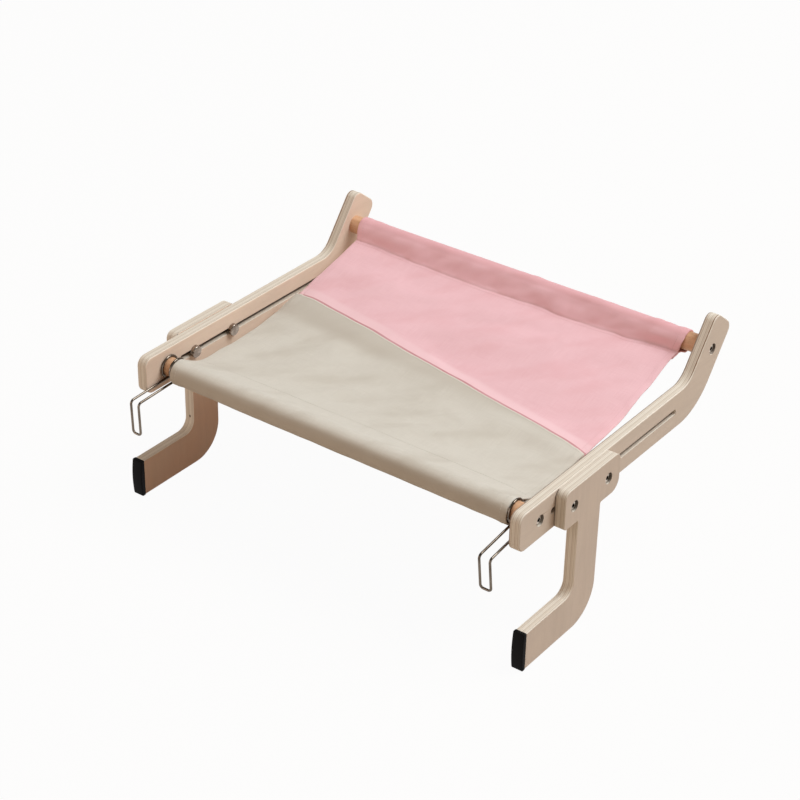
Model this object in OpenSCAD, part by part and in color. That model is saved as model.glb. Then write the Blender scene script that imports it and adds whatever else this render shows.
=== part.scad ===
// Cat hammock that hangs on the edge of a sill, drawer front or bed board.
// Two bent plywood arms carry a canvas sling on two dowels. Wire hooks on the front dowel go over
// the board, and J-shaped legs, clamped along a slot in each arm, press on the board below.
// Origin: middle of the front dowel's axis. +X along the dowel, -Y towards the board, +Z up.

/* [Overall] */
// Width over the outer faces of the two arms
overall_w = 470; // [400:1:560]
// Depth of the arms from front end to rear end
overall_d = 380; // [340:1:460]
// Height of the front dowel's axis above the soles of the feet
axis_h = 147; // [130:1:180]

/* [Plywood arms] */
// Thickness of the plywood
ply_t = 12; // [10:0.5:18]
// Width of the arm's strip
arm_w = 41; // [36:0.5:54]
// Corner radius at both ends of an arm
arm_end_r = 10; // [4:0.5:16]
// Angle by which an arm bends up towards the rear
arm_bend = 52.5; // [40:0.5:62]
// Radius on the inner side of the bend
arm_bend_r = 28; // [16:1:40]
// Length from the bend's corner to the rear dowel, along the raised part
arm_rise = 53.3; // [46:0.1:80]
// Distance of each dowel's axis from the nearer end of the arm
dowel_inset = 34; // [28:1:46]
// Distance from the front dowel's axis to the front end of the slot
slot_front = 18; // [15:1:22]
// Distance from the rear end of the slot to the bend's corner
slot_rear_gap = 34; // [26:1:60]

/* [Legs] */
// Distance from the front dowel's axis to the front clamp bolt
leg_setting = 40; // [30:1:120]
// Spacing of the two clamp bolts of one leg
bolt_spacing = 60; // [48:1:80]
// Length of the clamp plate ahead of the front bolt
plate_front = 16; // [10:1:20]
// Length of the clamp plate behind the rear bolt
plate_rear = 20; // [12:1:28]
// Radius at the two upper corners of the clamp plate
plate_r = 8; // [3:0.5:12]
// Radius at the lower front corner of the clamp plate
plate_toe_r = 4; // [1:0.5:8]
// Radius at the lower rear corner of the clamp plate
plate_heel_r = 13; // [4:0.5:16]
// Width of the upright, front to rear
leg_w = 39; // [30:1:44]
// Distance from the front bolt back to the upright's front edge
leg_offset = 8.5; // [4:0.5:14]
// Height of the foot
foot_h = 41; // [32:1:52]
// Reach of the plywood foot ahead of the front bolt
foot_reach = 71; // [55:1:100]
// Radius in the angle between upright and foot
leg_inner_r = 14; // [6:1:22]
// Radius at the heel, where upright and foot meet
leg_outer_r = 37; // [20:1:38]
// Radius in the angles between upright and clamp plate
plate_fillet_r = 2; // [1:0.5:6]

/* [Foot pads] */
// Thickness of the rubber pad
pad_t = 5; // [3:0.5:10]
// How far the pad stands proud of the plywood all round
pad_lip = 0.5; // [0:0.1:1.5]
// Rounding of the pad's front edges
pad_edge_r = 2; // [0.5:0.1:2.5]

/* [Dowels and bolts] */
// Diameter of the dowels
dowel_d = 20; // [17:0.5:26]
// Diameter of the threaded inserts in the dowels
insert_d = 9.5; // [8.5:0.1:12]
// Length of the threaded inserts
insert_len = 14; // [10:1:20]
// Diameter of the bolts
bolt_d = 6; // [5:0.5:6.5]
// Reach of a dowel bolt past the arm's inner face
bolt_reach = 28; // [22:1:50]
// Diameter of the bolt heads
head_d = 10.5; // [9:0.1:12]
// Height of the bolt heads
head_h = 3.3; // [2.4:0.1:4.5]
// Chamfer round the top of a bolt head
head_rim = 1.1; // [0.3:0.1:1.5]
// Size of the hexagon socket across its flats
socket_af = 4; // [2.5:0.5:5]
// Depth of the hexagon socket
socket_depth = 2.2; // [1:0.1:2.3]
// Depth of the recess for a bolt head
recess_depth = 5; // [3.5:0.1:6.5]
// Diameter of the cap nuts
nut_d = 13; // [10:0.5:16]
// Height of the cap nuts
nut_h = 4.5; // [3.5:0.1:6]
// Solid end of a cap nut, beyond its thread
nut_end_t = 1.3; // [0.8:0.1:2]
// Rounding of a cap nut's rim
nut_rim_r = 1.2; // [0.4:0.1:2]

/* [Hooks] */
// Diameter of the hook wire
wire_d = 2.6; // [2:0.1:3.2]
// Spacing of the right hook's two legs
right_hook_w = 12; // [8:0.1:14]
// Spacing of the left hook's two legs, drawn in by the sling beside them
left_hook_w = 10.3; // [8:0.1:10.5]
// Reach of a hook, from the dowel's axis to its tip
hook_reach = 60; // [45:1:90]
// Drop of the tip below the hook's legs
hook_drop = 38; // [25:1:60]
// Radius of the bend between leg and tip
hook_bend_r = 4; // [2.5:0.5:8]
// Radius at the two corners of the tip
hook_tip_r = 3.6; // [2:0.1:3.8]
// How far the wire of a ring goes round the dowel
ring_sweep = 308; // [270:1:315]
// Slope of the right hook's legs below the level
right_hook_slope = 7; // [-10:1:30]
// Slope of the left hook's legs below the level
left_hook_slope = 2; // [-10:1:30]

/* [Sling] */
// Thickness of the canvas
cloth_t = 1.2; // [0.8:0.1:2]
// Gap between the sling's right edge and the arm
right_cloth_gap = 18.5; // [15.5:0.5:40]
// Gap between the sling's left edge and the arm
left_cloth_gap = 13.5; // [13.5:0.5:40]
// Mean diameter of the sleeves round the dowels
sleeve_d = 26; // [24:0.5:32]
// Place on the front sleeve where the seat leaves it, up from the level
front_leave = 60; // [45:1:75]
// Distance in front of the rear dowel of the crease where the seat meets the rear sleeve
crease_front = 21.5; // [18:0.5:30]
// Distance of the crease below the rear dowel
crease_drop = 10; // [4:0.5:16]
// Inner radius of the rear sleeve's fold at the crease
crease_r = 0.4; // [0.2:0.1:1]
// Slope of the seat where it meets the rear sleeve
seat_rear_slope = 13.2; // [5:0.1:20]
// Length over which the seat falls away from the front sleeve
seat_fall = 36; // [25:1:60]
// Length over which the seat climbs to the rear sleeve
seat_climb = 154; // [100:1:200]
// Distance of the seam from the rear dowel along the left edge
seam_left = 123; // [90:1:180]
// Distance of the seam from the rear dowel along the right edge
seam_right = 192; // [120:1:200]
// Overlap of the front panel on the rear one along the seam
seam_lap = 9; // [5:1:16]
// Width of the step by which the front panel climbs onto the rear one
lap_step = 3; // [2:0.5:8]

/* [Clearances] */
// Between the legs or cap nuts and the arms that they slide on
slide_gap = 0.1; // [0.05:0.05:0.3]
// Round a bolt in its slot or hole
bolt_gap = 0.3; // [0.2:0.05:0.5]
// Round a bolt's head in its recess
head_gap = 0.75; // [0.3:0.05:1.2]
// Round a thread, and round an insert in its hole
thread_gap = 0.05; // [0.02:0.01:0.1]
// Between a hook's ring and the dowel
ring_gap = 0.3; // [0.2:0.1:0.6]
// Between layers of canvas, and between canvas and dowel
cloth_clear = 0.3; // [0.2:0.05:0.5]

/* [Hidden] */
$fn = 72;

LEFT = -1;
RIGHT = 1;
// Overshoot of a cut past the face that it goes through
cut_over = 1;

// Planes across the width
arm_out = overall_w / 2;
arm_in = arm_out - ply_t;
leg_in = arm_out + slide_gap;
leg_out = leg_in + ply_t;
nut_face = arm_in - slide_gap;

// The arm's centre line: a level run, a bend and a raised part
bend_mid_r = arm_bend_r + arm_w / 2;
bend_tangent = bend_mid_r * tan(arm_bend / 2);
rear_end_depth = (arm_rise + dowel_inset - arm_end_r) * cos(arm_bend)
    + (arm_w / 2 - arm_end_r) * sin(arm_bend) + arm_end_r;
bend_corner = overall_d - dowel_inset - rear_end_depth;
run_end = bend_corner - bend_tangent;
slot_rear = bend_corner - slot_rear_gap;
slot_r = bolt_d / 2 + bolt_gap;

// Dowel axes in the Y-Z plane
front_axis = [0, 0];
rear_axis = [bend_corner + arm_rise * cos(arm_bend), arm_rise * sin(arm_bend)];

// Bolts
hole_d = bolt_d + 2 * bolt_gap;
recess_d = head_d + 2 * head_gap;
thread_d = bolt_d + 2 * thread_gap;
nut_bore = nut_h - nut_end_t;
leg_bolt_len = leg_out - recess_depth - nut_face + nut_bore - bolt_gap;
dowel_bolt_len = ply_t - recess_depth + bolt_reach;
leg_bolt_y = [leg_setting, leg_setting + bolt_spacing];

// Hooks
ring_r = dowel_d / 2 + ring_gap + wire_d / 2;
hook_run = hook_reach - hook_bend_r;
tip_len = hook_drop - hook_bend_r - hook_tip_r;

// Sling, in the Y-Z plane
cloth_left = left_cloth_gap - arm_in;
cloth_right = arm_in - right_cloth_gap;
cloth_w = cloth_right - cloth_left;
sleeve_r = sleeve_d / 2;
sleeve_slack = sleeve_r - cloth_t / 2 - dowel_d / 2 - cloth_clear;
front_sleeve = front_axis - [0, sleeve_slack];
crease = rear_axis - [crease_front, crease_drop];
rear_sleeve = rear_axis + sleeve_slack * (crease - rear_axis) / norm(crease - rear_axis);
seat_start = front_sleeve + sleeve_r * [cos(front_leave), sin(front_leave)];
seat_handles = [
    seat_start + seat_fall * [sin(front_leave), -cos(front_leave)],
    crease - seat_climb * [cos(seat_rear_slope), sin(seat_rear_slope)]
];
seat_steps = 40;
lap_lift = cloth_t + cloth_clear;

function seat_point(t) =
    pow(1 - t, 3) * seat_start
    + 3 * t * pow(1 - t, 2) * seat_handles[0]
    + 3 * t * t * (1 - t) * seat_handles[1]
    + pow(t, 3) * crease;

// Where the seam lies at a place across the width
function seam_y(x) =
    rear_axis[0] - seam_left + (seam_left - seam_right) * (x - cloth_left) / cloth_w;

// An outline drawn in the Y-Z plane, made a plate from x0 along +X
module plate(x0, thickness) {
    translate([x0, 0, 0]) rotate([90, 0, 90]) linear_extrude(thickness) children();
}

// Pieces are drawn for the right side and mirrored for the left
module on_side(side) {
    if (side == RIGHT) children();
    else mirror([1, 0, 0]) children();
}

// A solid drawn along +Z, turned to run along +X from a place in the Y-Z plane
module along_x(x0, place) {
    translate([x0, place[0], place[1]]) rotate([0, 90, 0]) children();
}

// What rounds a square corner at the origin, in the first quadrant, when it is cut away
module corner_cut(r) {
    difference() {
        translate([-cut_over, -cut_over]) square(r + cut_over);
        translate([r, r]) circle(r);
    }
}

// What fills the angle at the origin, in the first quadrant, with a round of radius r
module corner_fill(r) {
    difference() {
        square(r);
        translate([r, r]) circle(r);
    }
}

// A strip of the arm along +X of the drawing, with a rounded far end
module arm_strip(length) {
    difference() {
        translate([0, -arm_w / 2]) square([length, arm_w]);
        translate([length, -arm_w / 2]) mirror([1, 0]) corner_cut(arm_end_r);
        translate([length, arm_w / 2]) rotate(180) corner_cut(arm_end_r);
    }
}

// A kite from the bend's centre over the bend, whose sides end square to the two parts of the arm
module bend_kite(reach) {
    tip = reach / cos(arm_bend / 2);
    polygon([
        [0, 0], [0, -reach],
        [tip * sin(arm_bend / 2), -tip * cos(arm_bend / 2)],
        [reach * sin(arm_bend), -reach * cos(arm_bend)]
    ]);
}

// The two straight parts, mitred at the bend's corner, with the bend rounded inside and outside
module arm_outline() {
    mitre = arm_w / 2 * tan(arm_bend / 2);
    outer_r = arm_bend_r + arm_w;
    difference() {
        union() {
            translate([bend_corner + mitre, 0]) mirror([1, 0]) arm_strip(bend_corner + mitre + dowel_inset);
            translate([bend_corner, 0]) rotate(arm_bend) translate([-mitre, 0])
                arm_strip(arm_rise + dowel_inset + mitre);
            translate([run_end, bend_mid_r]) difference() {
                bend_kite(bend_mid_r);
                circle(arm_bend_r);
            }
        }
        translate([run_end, bend_mid_r]) difference() {
            bend_kite(outer_r + cut_over);
            circle(outer_r);
        }
    }
}

module slot_outline() {
    translate([slot_front + slot_r, -slot_r]) square([slot_rear - slot_front - 2 * slot_r, 2 * slot_r]);
    for (y = [slot_front + slot_r, slot_rear - slot_r]) translate([y, 0]) circle(slot_r);
}

// A bolt hole through a plate, with a recess for the head in its outer face
module bolt_hole(inner_face, outer_face, place) {
    along_x(inner_face - cut_over, place) cylinder(d = hole_d, h = ply_t + 2 * cut_over);
    along_x(outer_face - recess_depth, place) cylinder(d = recess_d, h = recess_depth + cut_over);
}

module arm(side) {
    on_side(side) difference() {
        plate(arm_in, ply_t) difference() {
            arm_outline();
            slot_outline();
        }
        for (axis = [front_axis, rear_axis]) bolt_hole(arm_in, arm_out, axis);
    }
}

module leg_outline() {
    plate_start = -plate_front;
    plate_end = bolt_spacing + plate_rear;
    leg_back = leg_offset + leg_w;
    half = arm_w / 2;
    difference() {
        union() {
            translate([plate_start, -half]) square([plate_end - plate_start, arm_w]);
            translate([leg_offset, -axis_h]) square([leg_w, axis_h]);
            translate([-foot_reach, -axis_h]) square([foot_reach + leg_back, foot_h]);
            translate([leg_offset, foot_h - axis_h]) mirror([1, 0]) corner_fill(leg_inner_r);
            translate([leg_offset, -half]) rotate(180) corner_fill(plate_fillet_r);
            translate([leg_back, -half]) mirror([0, 1]) corner_fill(plate_fillet_r);
        }
        translate([plate_start, -half]) corner_cut(plate_toe_r);
        translate([plate_start, half]) mirror([0, 1]) corner_cut(plate_r);
        translate([plate_end, half]) rotate(180) corner_cut(plate_r);
        translate([plate_end, -half]) mirror([1, 0]) corner_cut(plate_heel_r);
        translate([leg_back, -axis_h]) mirror([1, 0]) corner_cut(leg_outer_r);
    }
}

module leg(side) {
    on_side(side) difference() {
        plate(leg_in, ply_t) translate([leg_setting, 0]) leg_outline();
        for (y = leg_bolt_y) bolt_hole(leg_in, leg_out, [y, 0]);
    }
}

// A rectangle from y = 0 to the rounded front edge at y = -depth
module pad_section(width, depth) {
    difference() {
        translate([0, -depth]) square([width, depth]);
        translate([0, -depth]) corner_cut(pad_edge_r);
        translate([width, -depth]) mirror([1, 0]) corner_cut(pad_edge_r);
    }
}

module foot_pad(side) {
    width = ply_t + 2 * pad_lip;
    height = foot_h + 2 * pad_lip;
    on_side(side) translate([leg_in - pad_lip, leg_setting - foot_reach, -axis_h - pad_lip])
        intersection() {
            linear_extrude(height) pad_section(width, pad_t);
            rotate([0, -90, 0]) mirror([0, 0, 1]) linear_extrude(width) pad_section(height, pad_t);
        }
}

module dowel(axis) {
    insert_hole = insert_d + 2 * thread_gap;
    difference() {
        along_x(-arm_in, axis) cylinder(d = dowel_d, h = 2 * arm_in);
        for (side = [LEFT, RIGHT]) on_side(side) {
            along_x(arm_in - insert_len, axis) cylinder(d = insert_hole, h = insert_len + cut_over);
            along_x(arm_in - bolt_reach - bolt_gap, axis) cylinder(d = hole_d, h = bolt_reach);
        }
    }
}

module dowel_inserts(axis) {
    for (side = [LEFT, RIGHT]) on_side(side) difference() {
        along_x(arm_in - insert_len, axis) cylinder(d = insert_d, h = insert_len);
        along_x(arm_in - insert_len - cut_over, axis) cylinder(d = thread_d, h = insert_len + 2 * cut_over);
    }
}

// A socket-head bolt along +Z: the shank ends at the origin and the head sits above length
module socket_bolt(length) {
    difference() {
        union() {
            cylinder(d = bolt_d, h = length);
            translate([0, 0, length]) cylinder(d = head_d, h = head_h - head_rim);
            translate([0, 0, length + head_h - head_rim])
                cylinder(d1 = head_d, d2 = head_d - 2 * head_rim, h = head_rim);
        }
        translate([0, 0, length + head_h - socket_depth])
            cylinder(d = socket_af / cos(30), h = socket_depth + cut_over, $fn = 6);
    }
}

module dowel_bolts(axis) {
    for (side = [LEFT, RIGHT]) on_side(side) along_x(arm_in - bolt_reach, axis) socket_bolt(dowel_bolt_len);
}

module leg_bolts(side) {
    on_side(side) for (y = leg_bolt_y)
        along_x(leg_out - recess_depth - leg_bolt_len, [y, 0]) socket_bolt(leg_bolt_len);
}

// A round cap nut along +Z, open at the top, with a rounded rim round its solid end
module cap_nut() {
    rotate_extrude() difference() {
        square([nut_d / 2, nut_h]);
        translate([nut_d / 2, 0]) mirror([1, 0]) corner_cut(nut_rim_r);
        translate([-cut_over, nut_end_t]) square([thread_d / 2 + cut_over, nut_bore + cut_over]);
    }
}

module leg_nuts(side) {
    on_side(side) for (y = leg_bolt_y) along_x(nut_face - nut_h, [y, 0]) cap_nut();
}

// An arc of wire of radius r, turning about +Z from the +X direction
module wire_arc(r, sweep) {
    rotate_extrude(angle = sweep) translate([r, 0]) circle(d = wire_d, $fn = 24);
}

module wire_run(length) {
    cylinder(d = wire_d, h = length, $fn = 24);
}

// One half of a hook in the Y-Z plane: ring, leg, bend and tip
module hook_half() {
    rotate([90, 0, 90]) rotate(-90) wire_arc(ring_r, ring_sweep);
    translate([0, 0, -ring_r]) {
        rotate([90, 0, 0]) wire_run(hook_run);
        translate([0, -hook_run, -hook_bend_r]) rotate([90, 0, 90]) rotate(90) wire_arc(hook_bend_r, 90);
        translate([0, -hook_reach, -hook_bend_r - tip_len]) wire_run(tip_len);
    }
}

// The end that joins the two tips, hung from the place where a tip ends
module hook_end(width) {
    bottom = width - 2 * hook_tip_r;
    for (s = [-1, 1]) translate([s * bottom / 2, 0, 0])
        rotate([90, 0, 0]) rotate(s > 0 ? -90 : 180) wire_arc(hook_tip_r, 90);
    translate([-bottom / 2, 0, -hook_tip_r]) rotate([0, 90, 0]) wire_run(bottom);
}

// A hook sits midway between the sling and the arm
module hook(side) {
    slope = side == LEFT ? left_hook_slope : right_hook_slope;
    width = side == LEFT ? left_hook_w : right_hook_w;
    space = side == LEFT ? left_cloth_gap : right_cloth_gap;
    on_side(side) translate([arm_in - space / 2, 0, 0]) rotate([slope, 0, 0]) {
        for (s = [-1, 1]) translate([s * width / 2, 0, 0]) hook_half();
        translate([0, -hook_reach, -ring_r - hook_bend_r - tip_len]) hook_end(width);
    }
}

// The inside of the rear sleeve in the Y-Z plane, or its outside when grown by the canvas:
// a loop round the dowel, drawn out to the crease
module rear_loop(grow) {
    loop_r = sleeve_r - cloth_t / 2 + grow;
    fold_r = crease_r + grow;
    span = crease - rear_sleeve;
    heading = atan2(span[1], span[0]);
    splay = acos((loop_r - fold_r) / norm(span));
    over = [cos(heading - splay), sin(heading - splay)];
    under = [cos(heading + splay), sin(heading + splay)];
    translate(rear_sleeve) circle(loop_r);
    translate(crease) circle(fold_r);
    polygon([
        rear_sleeve + loop_r * over, crease + fold_r * over,
        crease + fold_r * under, rear_sleeve + loop_r * under
    ]);
}

// The seat between two heights over its middle layer
module seat_layer(low, high) {
    line = [for (i = [0 : seat_steps]) seat_point(i / seat_steps)];
    under = [for (p = line) p + [0, low]];
    over = [for (i = [seat_steps : -1 : 0]) line[i] + [0, high]];
    plate(cloth_left, cloth_w) polygon(concat(under, over));
}

// The space over the floor plan between two lines along the seam, given by their distance behind it
module along_seam(front, rear) {
    left = cloth_left - cut_over;
    right = cloth_right + cut_over;
    plan = [
        [left, seam_y(left) + front], [right, seam_y(right) + front],
        [right, seam_y(right) + rear], [left, seam_y(left) + rear]
    ];
    translate([0, 0, -axis_h]) linear_extrude(2 * axis_h) polygon(plan);
}

module pink_panel() {
    color("pink") difference() {
        union() {
            plate(cloth_left, cloth_w) rear_loop(cloth_t);
            intersection() {
                seat_layer(-cloth_t / 2, cloth_t / 2);
                along_seam(-seam_lap, overall_d);
            }
        }
        plate(cloth_left - cut_over, cloth_w + 2 * cut_over) rear_loop(0);
    }
}

module grey_panel() {
    step_rear = -seam_lap - cloth_clear;
    color("lightgrey") {
        difference() {
            union() {
                along_x(cloth_left, front_sleeve) cylinder(d = sleeve_d + cloth_t, h = cloth_w);
                intersection() {
                    seat_layer(-cloth_t / 2, cloth_t / 2);
                    along_seam(-overall_d, step_rear);
                }
            }
            along_x(cloth_left - cut_over, front_sleeve)
                cylinder(d = sleeve_d - cloth_t, h = cloth_w + 2 * cut_over);
        }
        intersection() {
            seat_layer(-cloth_t / 2, lap_lift + cloth_t / 2);
            along_seam(step_rear - lap_step, step_rear);
        }
        intersection() {
            seat_layer(lap_lift - cloth_t / 2, lap_lift + cloth_t / 2);
            along_seam(step_rear - lap_step, 0);
        }
    }
}

module left_arm() { color("burlywood") arm(LEFT); }
module right_arm() { color("burlywood") arm(RIGHT); }
module front_dowel() { color("peru") dowel(front_axis); }
module rear_dowel() { color("peru") dowel(rear_axis); }
module front_dowel_bolts() { color("silver") dowel_bolts(front_axis); }
module rear_dowel_bolts() { color("silver") dowel_bolts(rear_axis); }
module front_dowel_inserts() { color("goldenrod") dowel_inserts(front_axis); }
module rear_dowel_inserts() { color("goldenrod") dowel_inserts(rear_axis); }
module left_leg() { color("burlywood") leg(LEFT); }
module right_leg() { color("burlywood") leg(RIGHT); }
module left_foot_pad() { color("black") foot_pad(LEFT); }
module right_foot_pad() { color("black") foot_pad(RIGHT); }
module left_leg_bolts() { color("silver") leg_bolts(LEFT); }
module right_leg_bolts() { color("silver") leg_bolts(RIGHT); }
module left_leg_nuts() { color("silver") leg_nuts(LEFT); }
module right_leg_nuts() { color("silver") leg_nuts(RIGHT); }
module left_hook() { color("gainsboro") hook(LEFT); }
module right_hook() { color("gainsboro") hook(RIGHT); }

left_arm();
right_arm();
front_dowel();
rear_dowel();
front_dowel_bolts();
rear_dowel_bolts();
front_dowel_inserts();
rear_dowel_inserts();
left_leg();
right_leg();
left_foot_pad();
right_foot_pad();
left_leg_bolts();
right_leg_bolts();
left_leg_nuts();
right_leg_nuts();
left_hook();
right_hook();
pink_panel();
grey_panel();
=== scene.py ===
import math

import bmesh
import bpy
import numpy as np
from mathutils import Matrix, Vector, noise


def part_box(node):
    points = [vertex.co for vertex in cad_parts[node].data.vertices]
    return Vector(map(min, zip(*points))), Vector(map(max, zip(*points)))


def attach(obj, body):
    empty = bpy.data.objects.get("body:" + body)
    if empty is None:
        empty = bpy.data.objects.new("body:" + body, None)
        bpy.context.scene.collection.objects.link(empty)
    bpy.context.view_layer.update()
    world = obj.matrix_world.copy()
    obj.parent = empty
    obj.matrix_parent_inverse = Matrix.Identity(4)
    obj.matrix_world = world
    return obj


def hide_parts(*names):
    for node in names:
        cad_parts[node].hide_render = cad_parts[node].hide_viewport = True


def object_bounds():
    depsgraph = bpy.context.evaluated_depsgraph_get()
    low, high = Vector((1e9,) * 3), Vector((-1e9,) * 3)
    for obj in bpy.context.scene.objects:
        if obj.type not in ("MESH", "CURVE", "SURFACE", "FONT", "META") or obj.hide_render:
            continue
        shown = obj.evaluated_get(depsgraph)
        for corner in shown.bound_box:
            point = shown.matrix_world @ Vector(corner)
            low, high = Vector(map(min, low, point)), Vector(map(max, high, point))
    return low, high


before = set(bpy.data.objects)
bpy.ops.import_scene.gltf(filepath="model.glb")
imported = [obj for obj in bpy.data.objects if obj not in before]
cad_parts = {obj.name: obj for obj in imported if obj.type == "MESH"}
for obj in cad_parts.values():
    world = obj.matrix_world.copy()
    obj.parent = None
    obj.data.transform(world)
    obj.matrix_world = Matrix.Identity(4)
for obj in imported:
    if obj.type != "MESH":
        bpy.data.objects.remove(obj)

solid_box = [list(corner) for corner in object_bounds()]
bpy.ops.object.select_all(action="DESELECT")

# The view: a long lens off the hammock's front right corner, about a third of a right angle above
# it, held a degree out of level.
eye = Vector((1.06676, -1.36461, 1.08234))
turn, height, tilt = math.radians(36.072), math.radians(30.972), math.radians(1.177)
level = math.cos(height)
back = Vector((math.sin(turn) * level, -math.cos(turn) * level, math.sin(height)))
right = Vector((math.cos(turn), math.sin(turn), 0))
up = back.cross(right)
across = right * math.cos(tilt) + up * math.sin(tilt)
upright = up * math.cos(tilt) - right * math.sin(tilt)
bpy.ops.object.camera_add()
camera = bpy.context.object
camera.name = "front_right_view"
aim = Matrix((across, upright, back)).transposed().to_4x4()
camera.matrix_world = Matrix.Translation(eye) @ aim
camera.data.sensor_width, camera.data.lens, camera.data.clip_end = 36, 94.058, 60
bpy.context.scene.camera = camera
bpy.context.scene.view_settings.view_transform = "Standard"


# The studio: a wide pale floor just under the feet, a big soft box high behind the right side, a weak
# warm one at the front left, and even light all round. Floor and backdrop look white.
class Socket:
    """A socket of a node tree: arithmetic on it adds Math nodes, and node() adds any other."""

    def __init__(self, tree, socket=None):
        self.tree, self.socket = tree, socket

    def node(self, kind, settings={}, sockets={}, out=0):
        made = self.tree.nodes.new("ShaderNode" + kind)
        for name, value in settings.items():
            setattr(made, name, value)
        return self.join(made, sockets).out(out)

    def join(self, made, sockets):
        for name, value in sockets.items():
            if isinstance(value, Socket):
                self.tree.links.new(value.socket, made.inputs[name])
            else:
                made.inputs[name].default_value = value
        return Socket(self.tree, made.outputs[0] if made.outputs else made.inputs[0])

    def out(self, name):
        return Socket(self.tree, self.socket.node.outputs[name])

    def maths(self, operation, *values):
        return self.node("Math", {"operation": operation}, dict(enumerate(values)))

    def __add__(self, other):
        return self.maths("ADD", self, other)

    def __sub__(self, other):
        return self.maths("SUBTRACT", self, other)

    def __rsub__(self, other):
        return self.maths("SUBTRACT", other, self)

    def __mul__(self, other):
        return self.maths("MULTIPLY", self, other)

    def __truediv__(self, other):
        return self.maths("DIVIDE", self, other)

    def __rtruediv__(self, other):
        return self.maths("DIVIDE", other, self)

    __radd__, __rmul__ = __add__, __mul__

    def spread(self, low, high, least=0.0, most=1.0):
        """This value eased from least, at low, to most, at high."""
        return self.node("MapRange", {"interpolation_type": "SMOOTHSTEP"},
                         {"Value": self, "From Min": low, "From Max": high,
                          "To Min": least, "To Max": most})

    def tint(self, colour, other):
        """The one colour where this value is 0 and the other where it is 1."""
        return self.node("Mix", {"data_type": "RGBA"}, {0: self, 6: colour, 7: other}, out=2)

    def times(self, vector):
        """This vector with each of its measures multiplied."""
        return self.node("VectorMath", {"operation": "MULTIPLY"}, {0: self, 1: vector})

    def apart(self, point, weights):
        """How far this vector lies from a point, with each measure multiplied by its weight."""
        weighed = [measure * weight for measure, weight in zip(point, weights)]
        return self.node("VectorMath", {"operation": "DISTANCE"},
                         {0: self.times(weights), 1: weighed}, out="Value")


def paint(red, green, blue):
    """A colour as picked on a screen, turned into the shader's own measure."""
    parts = [part / 255 for part in (red, green, blue)]
    return (*[((p + 0.055) / 1.055) ** 2.4 if p > 0.04045 else p / 12.92 for p in parts], 1.0)


def surface(name):
    """A new material and its tree of nodes."""
    made = bpy.data.materials.new(name)
    made.use_nodes = True
    return made, Socket(made.node_tree)


def shade(tree, sockets):
    """Joins values to the shader of a material's tree."""
    return tree.join(tree.tree.nodes["Principled BSDF"], sockets)


def seen_ray(tree):
    """1 for the rays that show a background: straight to the eye, off metal or through glass."""
    ray = tree.node("LightPath", out="Is Camera Ray")
    return ray.maths("MAXIMUM", ray.maths("MAXIMUM", ray, ray.out("Is Glossy Ray")),
                     ray.out("Is Transmission Ray"))


air = bpy.data.worlds.new("studio_air")
air.use_nodes = True
bpy.context.scene.world = air
tree = Socket(air.node_tree)
room = tree.node("Background", {}, {"Color": paint(255, 235, 215), "Strength": 0.3})
ceiling = tree.node("SeparateXYZ", {}, {"Vector": tree.node("TexCoord", out="Generated")}, out="Z")
pale, dim = (0.982, 0.982, 0.981, 1), (0.22, 0.22, 0.22, 1)
white = tree.node("Background", {},
                  {"Color": ceiling.spread(0.15, 0.7).tint(pale, dim), "Strength": 1.0})
tree.join(air.node_tree.nodes["World Output"],
          {"Surface": tree.node("MixShader", {}, {0: seen_ray(tree), 1: room, 2: white})})

bpy.ops.mesh.primitive_plane_add(size=12, location=(0, 0.1, solid_box[0][2] - 0.001))
bpy.ops.object.transform_apply()
floor = bpy.context.object
floor.name = "studio_floor"
made, tree = surface("white_floor")
floor.data.materials.append(made)
speck = tree.node("TexNoise", {}, {"Vector": tree.node("TexCoord", out="Object"), "Scale": 3.0})
matt = shade(tree, {"Base Color": speck.tint(paint(188, 170, 150), paint(194, 177, 158)),
                    "Roughness": 0.9})
glow = tree.node("Emission", {}, {"Color": (1, 1, 1, 1), "Strength": 1.0})
shown = tree.node("MixShader", {}, {0: seen_ray(tree) * 0.96, 1: matt, 2: glow})
tree.join(tree.tree.nodes["Material Output"], {"Surface": shown})

lit_spot = Vector((0, 0.12, 0))
soft_boxes = (("key_box", (2.1, 2.05, 3.95), 3.0, 257.0, (0.88, 0.95, 1.0)),
              ("fill_box", (-1.13, -2.06, 0.6), 1.2, 12.5, (1.0, 0.85, 0.77)))
for name, place, size, watts, colour in soft_boxes:
    bpy.ops.object.light_add(type="AREA", location=place)
    lamp = bpy.context.object
    lamp.name = name
    lamp.rotation_euler = (lit_spot - lamp.location).to_track_quat("-Z", "Y").to_euler()
    lamp.data.size, lamp.data.energy, lamp.data.color = size, watts, colour


# The two side arms: 12 mm birch plywood, sawn to a straight run with a raised rear end, slotted for
# the legs, and rounded over along the outline. They carry the two dowels.
def solid_copy(node, name):
    """A copy of a node's solid with its doubled points joined, alone selected and in edit mode."""
    bpy.ops.object.select_all(action="DESELECT")
    copy = bpy.data.objects.new(name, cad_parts[node].data.copy())
    bpy.context.scene.collection.objects.link(copy)
    bpy.context.view_layer.objects.active = copy
    copy.select_set(True)
    bpy.ops.object.mode_set(mode="EDIT")
    bpy.ops.mesh.select_mode(type="EDGE")
    bpy.ops.mesh.select_all(action="SELECT")
    bpy.ops.mesh.remove_doubles(threshold=0.000002)
    return copy


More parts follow.
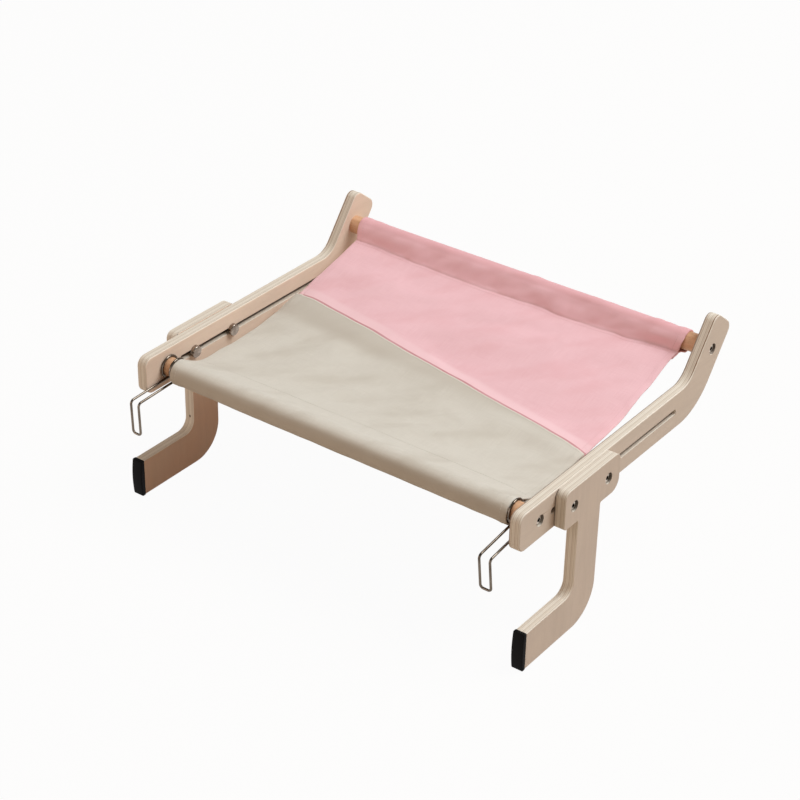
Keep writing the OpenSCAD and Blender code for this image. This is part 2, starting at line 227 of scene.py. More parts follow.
def rounded_board(node, holes):
    """A copy of a flat board with its outline rounded over, but not the rims of the holes, each given
    as its y, its z and its reach along both."""
    board = solid_copy(node, f"{node}_board")
    bpy.ops.mesh.dissolve_limited(angle_limit=math.radians(0.4))
    bpy.ops.mesh.select_all(action="DESELECT")
    shape = bmesh.from_edit_mesh(board.data)
    for edge in shape.edges:
        spot = (edge.verts[0].co + edge.verts[1].co) / 2
        clear = all(abs(spot.y - y) > reach_y or abs(spot.z - z) > reach_z
                    for y, z, reach_y, reach_z in holes)
        if clear and len(edge.link_faces) == 2 and edge.calc_face_angle() > math.radians(50):
            beside_face = max(abs(face.normal.x) for face in edge.link_faces) > 0.99
            edge.select_set(beside_face)
    bmesh.update_edit_mesh(board.data)
    bpy.ops.mesh.bevel(offset=0.0013, offset_type="OFFSET", segments=4, profile=0.5,
                       affect="EDGES", clamp_overlap=True)
    bpy.ops.object.mode_set(mode="OBJECT")
    bpy.ops.object.shade_smooth_by_angle(angle=math.radians(32))
    even = board.modifiers.new("even_faces", "WEIGHTED_NORMAL")
    even.keep_sharp, even.weight = True, 100
    bpy.ops.object.modifier_apply(modifier=even.name)
    board.data.materials.clear()
    return board


def plywood(name, inner, grain, bores, veneers, slot=None, clasp=None, void=None):
    """Birch plywood lying across X from the inner distance out: veneered faces, seven layers in the
    edges with a thin brown glue line between, and grain stretched along one way. Two colours each for
    the outer and the back veneer. Painted shade darkens the bolt recesses at the bores' y and z, most
    on their upper rear side, the deep part of the slot, which begins between two values of y, and the
    right board's inner edge. Painted contact shadow lies where a plate's edge clasps another board, up
    to a height, and a void may show in an edge."""
    made, tree = surface(name)
    place = tree.node("TexCoord", out="Object")
    x = tree.node("SeparateXYZ", {}, {"Vector": place})
    y, z = x.out("Y"), x.out("Z")
    deep, aside = x.maths("ABSOLUTE", x), z.maths("ABSOLUTE", z)
    outward = tree.node("SeparateXYZ", {}, {"Vector": place.out("Normal")})
    face = outward.maths("ABSOLUTE", outward).spread(0.6, 0.9)
    in_edge = 1 - face

    ply, last_joint = 0.00175, 6.0
    wander = tree.node("TexNoise", {}, {"Vector": place, "Scale": 14.0, "Detail": 2.0})
    layer = (deep - (inner - 0.0003) + (wander - 0.5) * 0.00022) / ply
    number, within = layer.maths("FLOOR", layer), layer.maths("FRACT", layer)
    joint = layer.maths("ROUND", layer)
    off_joint = within.maths("MINIMUM", within, 1 - within)
    tone = tree.node("TexWhiteNoise", {"noise_dimensions": "1D"}, {"W": number})
    depth = tree.node("TexWhiteNoise", {"noise_dimensions": "1D"}, {"W": joint + 40.5})
    glue = off_joint.spread(0.04, 0.17, 1, 0) * depth.spread(0.2, 1.0, 0.16, 0.62)
    raised = y.spread(0.255, 0.285)
    gaping = wander.maths("MAXIMUM", wander.spread(0.44, 0.6, 0, 0.25), raised)
    gap = joint.maths("COMPARE", joint, last_joint, 0.1)
    gap = gap * (off_joint - raised * 0.1).spread(0.07, 0.25, 1, 0) * gaping
    at_back = number.maths("LESS_THAN", number, 3.5)

    streak = tree.node("TexNoise", {}, {"Vector": place.times([g * 9 for g in grain]),
                                        "Scale": 1.0, "Detail": 5.0, "Roughness": 0.62,
                                        "Distortion": 0.4})
    fibre = tree.node("TexNoise", {}, {"Vector": place.times([g * 70 for g in grain]),
                                       "Scale": 1.0, "Detail": 3.0, "Roughness": 0.7})
    cloud = tree.node("TexNoise", {}, {"Vector": place, "Scale": 22.0, "Detail": 3.0})
    figure = streak.spread(0.28, 0.74) * 0.6 + fibre.spread(0.3, 0.72) * 0.4
    veneer = at_back.tint(figure.tint(*veneers[:2]), figure.tint(*veneers[2:]))
    veneer = (cloud.spread(0.35, 0.7) * 0.2).tint(veneer, paint(214, 194, 174))
    core = tone.tint(paint(219, 206, 189), paint(232, 222, 207))
    core = (fibre.spread(0.35, 0.7) * 0.3).tint(core, paint(212, 196, 175))
    wood = face.tint((glue + gap).tint(core, paint(134, 96, 70)), veneer)
    for bore_y, bore_z in bores:
        reach = place.apart((0, bore_y, bore_z), (0, 1, 1))
        above = (y - bore_y) + (z - bore_z) * 0.5
        # Painted shade in the recess, strongest on the upper rear wall, which is turned away from the
        # light.
        recess_shade = reach.spread(0.0058, 0.0064, 1, 0) * above.spread(-0.003, 0.0025, 0.2, 1.0)
        wood = recess_shade.tint(wood, paint(40, 25, 17))
    if slot is not None:
        # Painted shade deep in the slot, where its wall lies out of the light.
        slot_shade = deep.spread(inner + 0.0035, inner + 0.0062)
        slot_shade = slot_shade * deep.spread(inner + 0.006, inner + 0.0102, 0.85, 0.1)
        in_slot = aside.spread(0.0034, 0.0037, 1, 0) * y.spread(*slot)
        wood = (in_slot * slot_shade * in_edge).tint(wood, paint(58, 38, 27))
        # Painted shadow along the right board's inner rounded edge, beside the cloth.
        inner_edge_shade = layer.spread(0.55, 1.05, 1, 0) * x.spread(0.1, 0.2) * in_edge
        wood = (inner_edge_shade * (1 - in_slot) * 0.85).tint(wood, paint(98, 76, 62))
    if clasp is not None:
        # Painted contact shadow where the plate's edge meets the board it clasps.
        contact_shade = aside.spread(clasp - 0.001, clasp, 1, 0) * layer.spread(0.4, 0.95, 1, 0)
        wood = (contact_shade * in_edge * 0.9).tint(wood, paint(60, 38, 26))
    if void is not None:
        hole = place.apart(void, (1, 0.2, 0.6)).spread(0.0006, 0.0013, 1, 0)
        wood = hole.tint(wood, paint(70, 46, 32))
    rise = figure * 0.7 - glue * in_edge * 0.5
    shade(tree, {"Base Color": wood, "Roughness": 0.5 + figure * 0.14 + in_edge * 0.08,
                 "Specular IOR Level": 0.35,
                 "Normal": tree.node("Bump", {}, {"Strength": 0.35, "Distance": 0.0002,
                                                  "Height": rise})})
    return made


dowel_bolts, head_reach = ((0, 0), (0.31306, 0.04229)), (0.008, 0.008)
arm_slot = (0.13, 0, 0.122, 0.006)
arm_veneers = (paint(199, 180, 163), paint(211, 193, 177), paint(224, 197, 176), paint(234, 209, 188))
arm_plywood = plywood("arm_plywood", 0.223, (11, 1, 11), dowel_bolts, arm_veneers,
                      slot=(0.0125, 0.0135))
for side in ("left", "right"):
    arm = rounded_board(f"{side}_arm", [(*bolt, *head_reach) for bolt in dowel_bolts] + [arm_slot])
    arm.data.materials.append(arm_plywood)
    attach(arm, "frame")
    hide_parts(f"{side}_arm")


# The two dowels: turned beech rods across the front and the back, drilled at the ends. The front one
# carries the hooks as well as the sling.
def dress(nodes, finish):
    """Gives a finish to the named solids, which keep their own shape."""
    for node in nodes:
        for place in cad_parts[node].material_slots:
            place.material = finish


beech, tree = surface("oiled_beech")
place = tree.node("TexCoord", out="Object")
streak = tree.node("TexNoise", {}, {"Vector": place.times((9, 190, 190)), "Scale": 1.0,
                                    "Detail": 4.0, "Roughness": 0.6, "Distortion": 0.3})
fleck = tree.node("TexVoronoi", {"feature": "F1"},
                  {"Vector": place.times((240, 1500, 1500)), "Scale": 1.0})
figure = streak.spread(0.3, 0.72)
wood = figure.tint(paint(206, 157, 119), paint(224, 179, 141))
wood = (fleck.spread(0.1, 0.34, 1, 0) * 0.5).tint(wood, paint(164, 112, 76))
rise = figure - fleck.spread(0.1, 0.3, 0.4, 0)
shade(tree, {"Base Color": wood, "Roughness": 0.42 + figure * 0.12,
             "Normal": tree.node("Bump", {}, {"Strength": 0.3, "Distance": 0.00015,
                                              "Height": rise})})
dress(("front_dowel", "rear_dowel"), beech)


# Brass inserts in the dowels' ends and the nickelled socket-head bolts that draw the arms on to
# them, heads sunk in the arms' outer faces. The legs' bolts are of the same kind.
brass, tree = surface("insert_brass")
place = tree.node("TexCoord", out="Object")
stain = tree.node("TexNoise", {}, {"Vector": place, "Scale": 700.0, "Detail": 3.0})
shade(tree, {"Base Color": stain.tint(paint(186, 146, 76), paint(212, 176, 104)), "Metallic": 1.0,
             "Roughness": 0.26 + stain * 0.2})
dress(("front_dowel_inserts", "rear_dowel_inserts"), brass)


def nickel(name, dark, light, least, most, grain, sockets=()):
    """Plated steel with a slightly uneven shine, between the least and the most rough. Painted shade
    darkens the key sockets at the given y and z."""
    made, tree = surface(name)
    place = tree.node("TexCoord", out="Object")
    haze = tree.node("TexNoise", {}, {"Vector": place, "Scale": grain, "Detail": 2.0})
    plate = haze.spread(0.35, 0.65).tint(dark, light)
    for y, z in sockets:
        # Painted shade inside each hex socket.
        reach = place.apart((0, y, z), (0, 1, 1))
        plate = reach.spread(0.0019, 0.0024, 1, 0).tint(plate, paint(46, 34, 27))
    shade(tree, {"Base Color": plate, "Metallic": 1.0,
                 "Roughness": haze.spread(0.3, 0.7, least, most)})
    return made


leg_bolts = ((0.04, 0), (0.1, 0))
bolt_nickel = nickel("bolt_nickel", paint(168, 155, 141), paint(212, 200, 187), 0.1, 0.2, 150.0,
                     dowel_bolts + leg_bolts)
dress(("front_dowel_bolts", "rear_dowel_bolts", "left_leg_bolts", "right_leg_bolts"), bolt_nickel)

# The sling: a grey and a pink panel of plain-woven canvas. Each is hemmed at the sides and sewn into
# a sleeve round its dowel, and the grey one's turned edge is lapped over the pink and stitched down.
left_edge, right_edge = -0.2086, 0.2050
middle, half = (left_edge + right_edge) / 2, (right_edge - left_edge) / 2
canvas, fold, hem, lap, strip = 0.0008, 0.00045, 0.008, 0.009, 0.009
tuck = math.pi * fold
front_middle, front_loop = np.array((0.0, -0.0021)), 0.013
rear_middle, rear_loop = np.array((0.3123, 0.04196)), 0.0114
seat_handles = np.array(((0.0065, 0.00916), (0.03768, -0.00884),
                         (0.14163, -0.00288), (0.29156, 0.03229)))
sewn_y, strip_drop, dowel_skin = 0.024, 0.001, 0.0106


def ring_points(middle, radius, start, end):
    """Points round a loop, in degrees from the rear level upwards."""
    turns = np.radians(np.linspace(start, end, max(3, round(abs(end - start) / 4))))
    return middle + radius * np.stack((np.cos(turns), np.sin(turns)), 1)


def tangent(point, middle, radius, side):
    """Where a taut line from the point touches the loop, and the touch's own turn in degrees."""
    away = middle - point
    reach = math.hypot(*away)
    heading = math.atan2(away[1], away[0]) + side * math.asin(radius / reach)
    length = math.sqrt(reach ** 2 - radius ** 2)
    touch = point + length * np.array((math.cos(heading), math.sin(heading)))
    return touch, math.degrees(heading) + side * 90


t = np.linspace(0, 1, 220)[:, None]
seat = ((1 - t) ** 3 * seat_handles[0] + 3 * (1 - t) ** 2 * t * seat_handles[1]
        + 3 * (1 - t) * t ** 2 * seat_handles[2] + t ** 3 * seat_handles[3])
ahead = np.gradient(seat, axis=0)
ahead /= np.linalg.norm(ahead, axis=1)[:, None]
under = seat - strip_drop * np.stack((-ahead[:, 1], ahead[:, 0]), 1)
join = under[np.searchsorted(seat[:, 0], sewn_y)]
front_strip = under[(seat[:, 0] > sewn_y) & (seat[:, 0] < sewn_y + strip)][::-1]
touch, leave = tangent(join, front_middle, front_loop, 1)
front_part = np.concatenate((front_strip, np.linspace(join, touch, 9)[1:-1],
                             ring_points(front_middle, front_loop, leave % 360, 60)))
crease = seat[-1]
below_crease = crease + (0, -strip_drop)
touch_up, leave_up = tangent(crease, rear_middle, rear_loop, 1)
touch_down, leave_down = tangent(below_crease, rear_middle, rear_loop, -1)
in_rear_strip = (seat[:, 0] > crease[0] - strip) & (seat[:, 0] < crease[0] - 0.0012)
rear_part = np.concatenate((np.linspace(crease, touch_up, 7)[1:-1],
                            ring_points(rear_middle, rear_loop, leave_up, leave_down),
                            np.linspace(touch_down, below_crease, 7)[1:-1],
                            under[in_rear_strip][::-1]))
line = np.concatenate((front_part[:-1], seat, rear_part))
along = np.concatenate(([0], np.cumsum(np.linalg.norm(np.diff(line, axis=0), axis=1))))
seat_along = along[len(front_part) - 1:][:len(seat)]
seat_from, seat_to = seat_along[0], seat_along[-1]
facing = np.gradient(line, along, axis=0)
facing = np.stack((-facing[:, 1], facing[:, 0]), 1)
facing /= np.linalg.norm(facing, axis=1)[:, None]
slack = np.min([np.hypot(line[:, 0] - y, line[:, 1] - z) for y, z in dowel_bolts], 0) - dowel_skin
sewn = np.interp(sewn_y, seat[:, 0], seat_along)
rear_top, rear_turn = seat_to + 0.03, along[-1] - strip


def eased(value, low, high):
    """0 below low, 1 above high and a smooth rise between."""
    part = np.clip((value - low) / (high - low), 0, 1)
    return part * part * (3 - 2 * part)


def between(value, start, full, fading, end):
    """1 from full to fading, and a smooth fall to 0 at the start and at the end."""
    return eased(value, start, full) * (1 - eased(value, fading, end))


def seam_at(x):
    """How far along the cut the seam lies, which slants from left rear to right front."""
    left_y, right_y = 0.19006, 0.12106
    y = left_y + (x + 0.2095) / 0.414 * (right_y - left_y)
    return np.interp(y, seat[:, 0], seat_along)


def ripple(x, s, size_x, size_s, seed, lean=0.0):
    """Soft uneven waves, longer along their lean than across it."""
    turned = (x * math.cos(lean) + s * math.sin(lean), s * math.cos(lean) - x * math.sin(lean))
    return np.array([noise.noise(Vector((a / size_x, b / size_s, seed))) for a, b in zip(*turned)])


def folded(past):
    """How far cloth reaches out and how far it sinks at a distance past the start of a turned edge."""
    bend = np.minimum(past / fold, math.pi)
    return fold * np.sin(bend) - np.maximum(past - tuck, 0), fold * (1 - np.cos(bend))


def drape(u, s, lapped):
    """Where a point of the flat cut hangs: u across from the middle, s along from the front strip.
    Past the sides the hem turns under; past the seam the upper panel's edge turns under."""
    reach, sink = folded(np.maximum(np.abs(u) - half, 0))
    x = middle + np.sign(u) * (np.minimum(np.abs(u), half) + reach)
    from_edge = np.minimum(x - left_edge, right_edge - x)
    turned = 1 - eased(from_edge, 0.008, 0.012)
    seam = seam_at(x)
    rise = -sink
    if lapped:
        reach, sink = folded(np.maximum(s - seam, 0))
        s = np.minimum(s, seam) + reach
        on_lap = eased(s, seam - 0.034, seam - 0.0092)
        rise = rise - sink + (0.00175 + 0.00095 * turned) * on_lap

    # The sleeves: dented where there is room round the dowel, calmer on the rear one's back.
    in_front = 1 - eased(s, seat_from - 0.004, seat_from + 0.006)
    in_rear = eased(s, seat_to, seat_to + 0.004)
    in_strip = np.maximum(1 - eased(s, strip - 0.001, strip + 0.002),
                          eased(s, rear_turn - 0.002, rear_turn + 0.001))
    rise = rise + turned * (0.0005 * np.maximum(in_front, in_rear) + 0.0014 * in_strip)
    dent = (0.0012 * ripple(x, s, 0.05, 0.016, 21.7, 0.25)
            + 0.0009 * ripple(x, s, 0.022, 0.011, 33.0, 0.4))
    dent = dent + in_rear * (0.0016 * np.abs(ripple(x, s, 0.036, 0.012, 47.5, 1.15)) - 0.0005)
    dent = np.maximum(dent, -0.7 * np.interp(s, along, np.maximum(slack, 0)))
    taut = 1 - 0.6 * eased(s, rear_top, rear_top + 0.016)
    rise = rise + dent * (0.3 * in_front + in_rear * taut) * (1 - in_strip)

    # The seat: folds, a ridge along the seam and drooping sides. The strips under it follow suit.
    on_front, on_back = s < seat_from, s > rear_top
    near = np.where(on_front, 1 - eased(s, strip, strip + 0.016),
                    np.where(on_back, eased(s, rear_turn - 0.016, rear_turn), 1))
    over = np.where(on_front & (near > 0), sewn + np.maximum(strip - s, 0),
                    np.where(on_back & (near > 0), seat_to - np.maximum(s - rear_turn, 0), s))
    wave = (0.0038 * ripple(x, over, 0.11, 0.042, 3.1, 0.45)
            + 0.0022 * ripple(x, over, 0.06, 0.021, 8.4, 0.7)
            + 0.0010 * ripple(x, over, 0.2, 0.12, 14.2, -0.3))
    crumpled = eased(ripple(x, over, 0.1, 0.08, 66.2), -0.15, 0.25)
    wave = wave + crumpled * (0.0016 * np.abs(ripple(x, over, 0.07, 0.03, 41.3, 0.7))
                              + 0.0006 * np.abs(ripple(x, over, 0.024, 0.017, 57.9, -0.4)))
    wave = wave * between(over, seat_from + 0.012, seat_from + 0.06, seat_to - 0.05, seat_to - 0.004)
    wave = wave * (1 - 0.7 * np.exp(-((over - seam) / 0.018) ** 2))
    fall = 0.048 - 0.032 * eased(x, -0.07, 0.03)
    ridge = between(over, seam - 0.042, seam - 0.002, seam + 0.001, seam + fall)
    wave = wave + (0.0024 - 0.0009 * eased(x, -0.1, 0.0)) * ridge * eased(from_edge, -0.01, 0.03)
    hanging = between(over, seat_from + 0.002, seat_from + 0.03, seat_to - 0.09, seat_to + 0.002)
    lower = near * (wave - 0.0044 * np.exp(-from_edge / 0.022) * hanging)

    # The rear crease bows back towards the sides and wavers, and the sides are pulled in or out.
    waver = (0.0026 * ripple(x, 0 * x, 0.048, 1.0, 77.4)
             + 0.0012 * ripple(x, 0 * x, 0.019, 1.0, 91.6))
    bow = near * (0.0072 * np.abs((x - middle) / half) ** 3 + waver)
    bow = bow * between(over, seat_to - 0.06, seat_to, seat_to, seat_to + 0.018)
    bow_y, bow_z = 0.974, 0.228
    seat_length = seat_to - seat_from
    spots, pull_left, pull_right = np.array((
        (0, 0, 0.0002), (0.03, 0.0015, 0.0004), (0.18, 0.0019, 0.0004), (0.21, 0.0019, -0.0007),
        (0.24, 0.0019, -0.002), (0.27, 0.0018, -0.0031), (0.28, 0.0016, -0.0032),
        (seat_length, 0.0014, -0.0022), (seat_length + 0.02, -0.0005, 0.0014))).T
    pull = np.where(x < middle, np.interp(over, seat_from + spots, pull_left),
                    np.interp(over, seat_from + spots, pull_right)) * np.exp(-from_edge / 0.05)

    y, z = (np.interp(s, along, line[:, axis]) for axis in (0, 1))
    lean_y, lean_z = (np.interp(s, along, facing[:, axis]) for axis in (0, 1))
    return np.stack((x + pull, y + rise * lean_y + bow * bow_y,
                     z + rise * lean_z + bow * bow_z + lower), 1)


def hung_panel(name, rows, lapped):
    """A flat grid of canvas cut to the panel's size, then hung: rows give s for a place across."""
    turned_in = [half + tuck * part for part in (0.25, 0.5, 0.75, 1)]
    hemmed = [half + tuck + hem * part for part in (0.3, 0.65, 1)]
    columns = np.concatenate((np.linspace(0, half, 80)[1:], turned_in, hemmed))
    columns = np.concatenate((-columns[::-1], [0], columns))
    lengths = np.stack([rows(middle + min(max(u, -half), half)) for u in columns])
    wide, long = len(columns) - 1, lengths.shape[1] - 1
    bpy.ops.object.select_all(action="DESELECT")
    bpy.ops.mesh.primitive_grid_add(x_subdivisions=wide, y_subdivisions=long, size=1)
    panel = bpy.context.object
    panel.name = panel.data.name = name
    grid = np.zeros(len(panel.data.vertices) * 3)
    panel.data.vertices.foreach_get("co", grid)
    grid = grid.reshape(-1, 3) + 0.5
    column = np.rint(grid[:, 0] * wide).astype(int)
    row = np.rint(grid[:, 1] * long).astype(int)
    u, s = columns[column], lengths[column, row]
    panel.data.vertices.foreach_set("co", drape(u, s, lapped).ravel())
    corners = np.zeros(len(panel.data.loops), int)
    panel.data.loops.foreach_get("vertex_index", corners)
    panel.data.uv_layers[0].name = "cut"
    panel.data.uv_layers[0].data.foreach_set("uv", np.stack((u, s), 1)[corners].ravel())
    thick = panel.modifiers.new("thick", "SOLIDIFY")
    thick.thickness, thick.offset = canvas, 0
    bpy.ops.object.modifier_apply(modifier=thick.name)
    bpy.ops.object.shade_smooth()
    return panel


def woven(name, dark, light, slanted_fold_shade, light_and_shade_bands):
    """Plain-woven canvas: warp over weft at 0.7 mm, slubs along both, a painted shade of slanting
    folds, and bands of painted light and shade, each given as the line it follows, its start and end
    past that line, the softness of its borders and its colour."""
    made, tree = surface(name)
    flat = tree.node("UVMap", {"uv_map": "cut"})
    pitch = 0.0007
    thread = flat.times((1 / pitch, 1 / pitch, 0))
    u = tree.node("SeparateXYZ", {}, {"Vector": thread})
    v = u.out("Y")
    warp = u.maths("ABSOLUTE", u.maths("SINE", u * math.pi))
    weft = v.maths("ABSOLUTE", v.maths("SINE", v * math.pi))
    over = tree.node("TexChecker", {}, {"Vector": thread, "Scale": 1.0}, out="Fac")
    yarn = over * warp + (1 - over) * weft
    slubs = [tree.node("TexNoise", {}, {"Vector": flat.times(way), "Scale": 1.0, "Detail": 2.0})
             for way in ((1400, 45, 0), (45, 1400, 0))]
    slub = slubs[0] + slubs[1]
    place = tree.node("SeparateXYZ", {}, {"Vector": flat})
    down = place.out("Y")
    slanted = tree.node("CombineXYZ", {}, {"X": (place + down) * 8, "Y": (down - place) * 24})
    cloud = tree.node("TexNoise", {}, {"Vector": slanted, "Scale": 1.0, "Detail": 4.0})
    cloth = (yarn * 0.55 + slub.spread(0.7, 1.3) * 0.45).tint(dark, light)
    # Painted shade of slanting folds, a darker tone along slanting noise.
    cloth = (cloud.spread(0.46, 0.72) * 0.65).tint(cloth, slanted_fold_shade)
    # Each band is painted light or painted shade.
    for (slant, offset), start, end, soft, colour in light_and_shade_bands:
        past = down - place * slant - offset
        beside = past.spread(start - soft, start) * past.spread(end, end + soft, 1, 0)
        cloth = (beside * (0.55 + cloud * 0.5)).tint(cloth, colour)
    shade(tree, {"Base Color": cloth, "Roughness": 0.78 + (1 - yarn) * 0.14,
                 "Specular IOR Level": 0.2, "Sheen Weight": 0.12, "Sheen Roughness": 0.5,
                 "Normal": tree.node("Bump", {}, {"Strength": 0.5, "Distance": 0.00012,
                                                  "Height": yarn + slub * 0.35})})
    return made


def stitching(name, runs, lapped, colour):
    """Rows of thread, one short raised stitch every 3 mm along each run of (u, s) points."""
    spacing, margin, probe, lift = 0.003, 0.002, 0.0008, canvas / 2 + 0.00006
    bpy.ops.object.select_all(action="DESELECT")
    bpy.ops.mesh.primitive_uv_sphere_add(segments=6, ring_count=5, radius=1)
    bpy.ops.object.mode_set(mode="EDIT")
    bpy.ops.mesh.select_all(action="SELECT")
    bpy.ops.transform.resize(value=(0.00024, 0.00022, 0.00112))
    bpy.ops.object.mode_set(mode="OBJECT")
    stitches = bpy.context.object
    one = np.zeros(len(stitches.data.vertices) * 3)
    stitches.data.vertices.foreach_get("co", one)
    one = one.reshape(-1, 3)
    faces = [list(face.vertices) for face in stitches.data.polygons]
    points, joined = [], []
    for u, s in runs:
        length = np.concatenate(([0], np.cumsum(np.hypot(np.diff(u), np.diff(s)))))
        at = np.arange(margin, length[-1] - margin, spacing)
        u, s = np.interp(at, length, u), np.interp(at, length, s)
        step = np.array((np.gradient(u), np.gradient(s)))
        step = probe * step / np.linalg.norm(step, axis=0)
        here, ends = drape(u, s, lapped), drape(u + step[0], s + step[1], lapped)
        beside = drape(u - step[1], s + step[0], lapped)
        for spot, end, other in zip(here, ends, beside):
            way = (end - spot) / np.linalg.norm(end - spot)
            out = np.cross(way, other - spot)
            out /= np.linalg.norm(out)
            joined += [[corner + len(one) * len(points) for corner in face] for face in faces]
            points.append(spot + out * lift + one @ np.stack((np.cross(out, way), out, way)))
    mesh = bpy.data.meshes.new(name)
    mesh.from_pydata(np.concatenate(points).tolist(), [], joined)
    stitches.data, stitches.name = mesh, name
    bpy.ops.object.shade_smooth()
    made, tree = surface(name + "_thread")
    place = tree.node("TexCoord", out="Object")
    twist = tree.node("TexNoise", {}, {"Vector": place, "Scale": 1800.0})
    darker = tuple(0.86 * part for part in colour[:3]) + (1,)
    shade(tree, {"Base Color": twist.spread(0.3, 0.7).tint(darker, colour),
                 "Roughness": 0.6 + twist * 0.2})
    stitches.data.materials.append(made)
    return stitches


def grey_rows(x):
    """How far along the cut the grey panel's rows of points lie, closest beside the seam."""
    seam, lap_start = seam_at(x), seam_at(x) - 0.036
    return np.concatenate((np.linspace(0, seat_from, 62),
                           np.linspace(seat_from, lap_start, 56)[1:],
                           np.linspace(lap_start, seam, 20)[1:],
                           [seam + tuck * part for part in (0.25, 0.5, 0.75, 1)],
                           [seam + tuck + lap * part for part in (0.4, 0.8)]))


def pink_rows(x):
    """How far along the cut the pink panel's rows lie, closest beside the seam and the crease."""
    seam, beside = seam_at(x), 0.015
    return np.concatenate((seam + np.linspace(-lap, beside, 25)[:-1],
                           np.linspace(seam + beside, seat_to - 0.002, 64),
                           [seat_to - 0.0008, seat_to, seat_to + 0.0008],
                           np.linspace(seat_to + 0.0024, along[-1], 56)))


cut_across, seat_across = np.linspace(-half, half, 50), np.linspace(left_edge, right_edge, 50)
seam_line = np.polyfit(cut_across, seam_at(seat_across), 1).tolist()
roll_line, sleeve_line = (0.0, seat_from), (0.0, seat_to)
corner_line = (seam_line[0] + 0.1, seam_line[1] + 0.1 * half)
grey_panel = hung_panel("grey_sling", grey_rows, True)
# Grey bands: painted shade on the roll's front, painted shade beside the seam's ridge on the left, and
# a painted highlight along the lap's turned edge. The darker slanting tone is painted fold shade.
grey_panel.data.materials.append(woven(
    "grey_canvas", paint(205, 197, 184), paint(219, 212, 200), paint(200, 191, 177),
    ((roll_line, -0.041, -0.021, 0.008, paint(188, 177, 162)),
     (corner_line, -0.03, -0.004, 0.016, paint(198, 188, 174)),
     (seam_line, -0.0005, 0.0008, 0.001, paint(222, 214, 202)))))
pink_panel = hung_panel("pink_sling", pink_rows, False)
# Pink bands: a painted highlight beside the seam's ridge, a thin painted shadow line at the seam,
# painted light on the sleeve's flat front and painted shade on its upper arc. The darker slanting tone
# is painted fold shade.
pink_panel.data.materials.append(woven(
    "pink_canvas", paint(232, 180, 185), paint(244, 200, 204), paint(233, 179, 183),
    ((seam_line, 0.005, 0.013, 0.006, paint(244, 203, 206)),
     (seam_line, 0.001, 0.0040, 0.0008, paint(196, 130, 131)),
     (sleeve_line, 0.004, 0.021, 0.004, paint(254, 204, 211)),
     (sleeve_line, 0.0255, 0.044, 0.006, paint(229, 171, 174)))))

ends = np.array((-half + 0.001, half - 0.001))
sides = (-half + 0.0062, half - 0.0062)
strip_row = np.interp(sewn_y + strip / 2, seat[:, 0], seat_along)
grey_runs = [(ends, seam_at(middle + ends) - 0.0018)]
grey_runs += [(np.full(90, u), np.linspace(strip, seam_at(middle + u) - 0.001, 90)) for u in sides]
grey_runs += [(ends, np.full(2, strip_row))]
grey_thread = stitching("grey_stitching", grey_runs, True, paint(214, 207, 194))
pink_runs = [(np.full(90, u), np.linspace(seam_at(middle + u) + 0.001, rear_turn, 90)) for u in sides]
pink_runs += [(ends, np.full(2, seat_to - 0.0036))]
pink_thread = stitching("pink_stitching", pink_runs, False, paint(238, 190, 193))

cut_width = 2 * (half + tuck + hem)
sewn_panels = ((grey_panel, grey_thread, "grey_panel", "front_dowel", grey_rows),
               (pink_panel, pink_thread, "pink_panel", "rear_dowel", pink_rows))
for panel, thread, node, dowel, rows in sewn_panels:
    lengths = [rows(x)[-1] - rows(x)[0] for x in (left_edge, right_edge)]
    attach(panel, "frame")
    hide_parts(node)
    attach(thread, "frame")
    cut_width * sum(lengths) / 2

# The two hooks: each is one bent wire, nickel plated, with a ring round the front dowel at both ends
# and a long U that drops over the edge the hammock hangs from. They swing on the dowel.
hook_nickel = nickel("hook_nickel", paint(92, 80, 69), paint(120, 108, 96), 0.07, 0.12, 60.0)
for side in ("left", "right"):
    wire = solid_copy(f"{side}_hook", f"{side}_hook_wire")
    bpy.ops.object.mode_set(mode="OBJECT")
    bpy.ops.object.shade_smooth_by_angle(angle=math.radians(50))
    wire.data.materials.clear()
    wire.data.materials.append(hook_nickel)
    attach(wire, f"{side}_hook")
    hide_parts(f"{side}_hook")

# The two J-legs: the same plywood with its grain upright, rounded over like the arms. A T-shaped plate
# at the top is clamped on the arm's slot by two bolts and round cap nuts.
# Painted shade: the legs' veneers are a little darker than the arms', and the back veneer's redder
# tone is partly its own and partly painted warm shade.
leg_veneers_and_shade = (paint(194, 174, 157), paint(206, 187, 171), paint(219, 181, 153), paint(228, 191, 163))
for side, void in (("left", (-0.2410, 0.0485, -0.0908)), ("right", None)):
    leg = rounded_board(f"{side}_leg", [(*bolt, *head_reach) for bolt in leg_bolts])
    leg.data.materials.append(plywood(f"{side}_leg_plywood", 0.2351, (11, 11, 1), leg_bolts,
                                      leg_veneers_and_shade, clasp=0.0205, void=void))
    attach(leg, f"{side}_leg")
    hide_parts(f"{side}_leg")
nut_nickel = nickel("nut_nickel", paint(136, 122, 111), paint(164, 150, 138), 0.18, 0.3, 150.0)
dress(("left_leg_nuts", "right_leg_nuts"), nut_nickel)

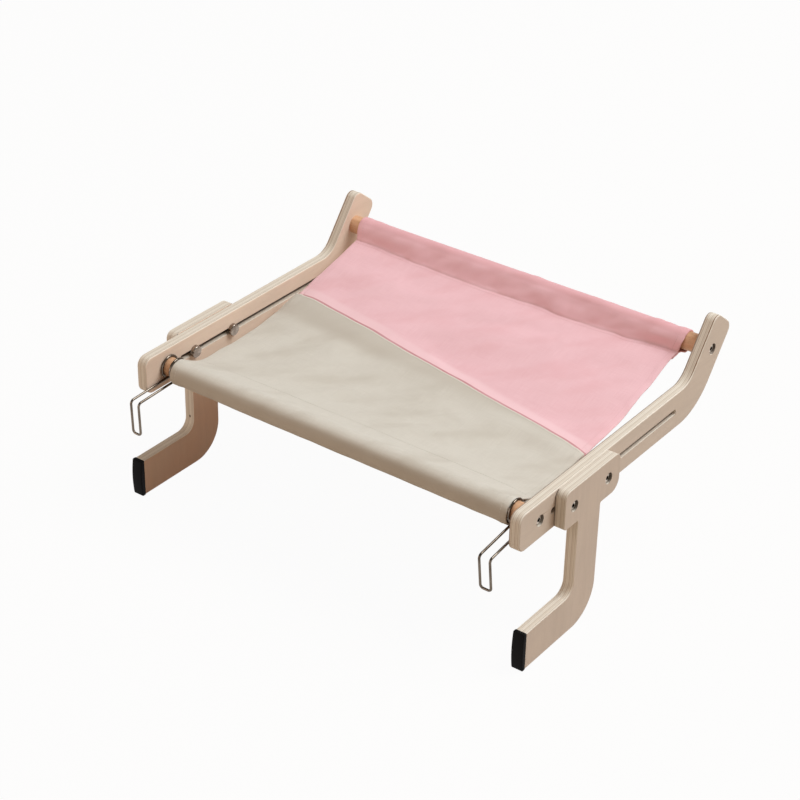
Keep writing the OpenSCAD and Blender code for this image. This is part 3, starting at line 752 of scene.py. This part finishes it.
# The two foot pads: black rubber blocks glued on the front ends of the feet, where they press on the
# wall below the edge.
rubber, tree = surface("pad_rubber")
place = tree.node("TexCoord", out="Object")
bloom = tree.node("TexNoise", {}, {"Vector": place, "Scale": 160.0, "Detail": 4.0})
pore = tree.node("TexNoise", {}, {"Vector": place, "Scale": 2600.0, "Detail": 2.0})
shade(tree, {"Base Color": bloom.spread(0.35, 0.7).tint(paint(9, 8, 8), paint(17, 16, 15)),
             "Roughness": 0.6 + bloom * 0.2, "Specular IOR Level": 0.1,
             "Normal": tree.node("Bump", {}, {"Strength": 0.4, "Distance": 0.0001,
                                              "Height": pore})})
low, high = (Vector(corner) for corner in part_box("left_foot_pad"))
span = high - low
pad_x, pad_z = low.x + span.x / 2, low.z + span.z / 2
bulge_radius, bulge_past, block_deep = 0.13, 0.0014, 0.01
bpy.ops.object.select_all(action="DESELECT")
bpy.ops.mesh.primitive_cylinder_add(vertices=240, radius=bulge_radius, depth=0.03,
                                    rotation=(0, math.pi / 2, 0),
                                    location=(pad_x, low.y - bulge_past + bulge_radius, pad_z))
bulge = bpy.context.object
bpy.ops.mesh.primitive_cube_add(size=1, location=(pad_x, high.y - block_deep / 2, pad_z))
block = bpy.context.object
bpy.ops.transform.resize(value=(span.x, block_deep, span.z + 0.0008))
bpy.ops.object.transform_apply()
shape = block.modifiers.new("bulged_front", "BOOLEAN")
shape.operation, shape.object, shape.solver = "INTERSECT", bulge, "EXACT"
bpy.ops.object.modifier_apply(modifier=shape.name)
soft = block.modifiers.new("soft_edges", "BEVEL")
soft.width, soft.segments = 0.0017, 4
soft.limit_method, soft.angle_limit = "ANGLE", math.radians(40)
bpy.ops.object.modifier_apply(modifier=soft.name)
bpy.ops.object.shade_smooth_by_angle(angle=math.radians(40))
block.data.materials.clear()
block.data.materials.append(rubber)
bpy.data.objects.remove(bulge)
for side in ("left", "right"):
    pad = block
    if side == "right":
        bpy.ops.object.duplicate()
        pad = bpy.context.object
        bpy.ops.transform.translate(value=(Vector(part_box("right_foot_pad")[0]).x - low.x, 0, 0))
        bpy.ops.object.transform_apply()
    pad.name = pad.data.name = f"{side}_foot_rubber"
    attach(pad, f"{side}_leg")
    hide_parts(f"{side}_foot_pad")
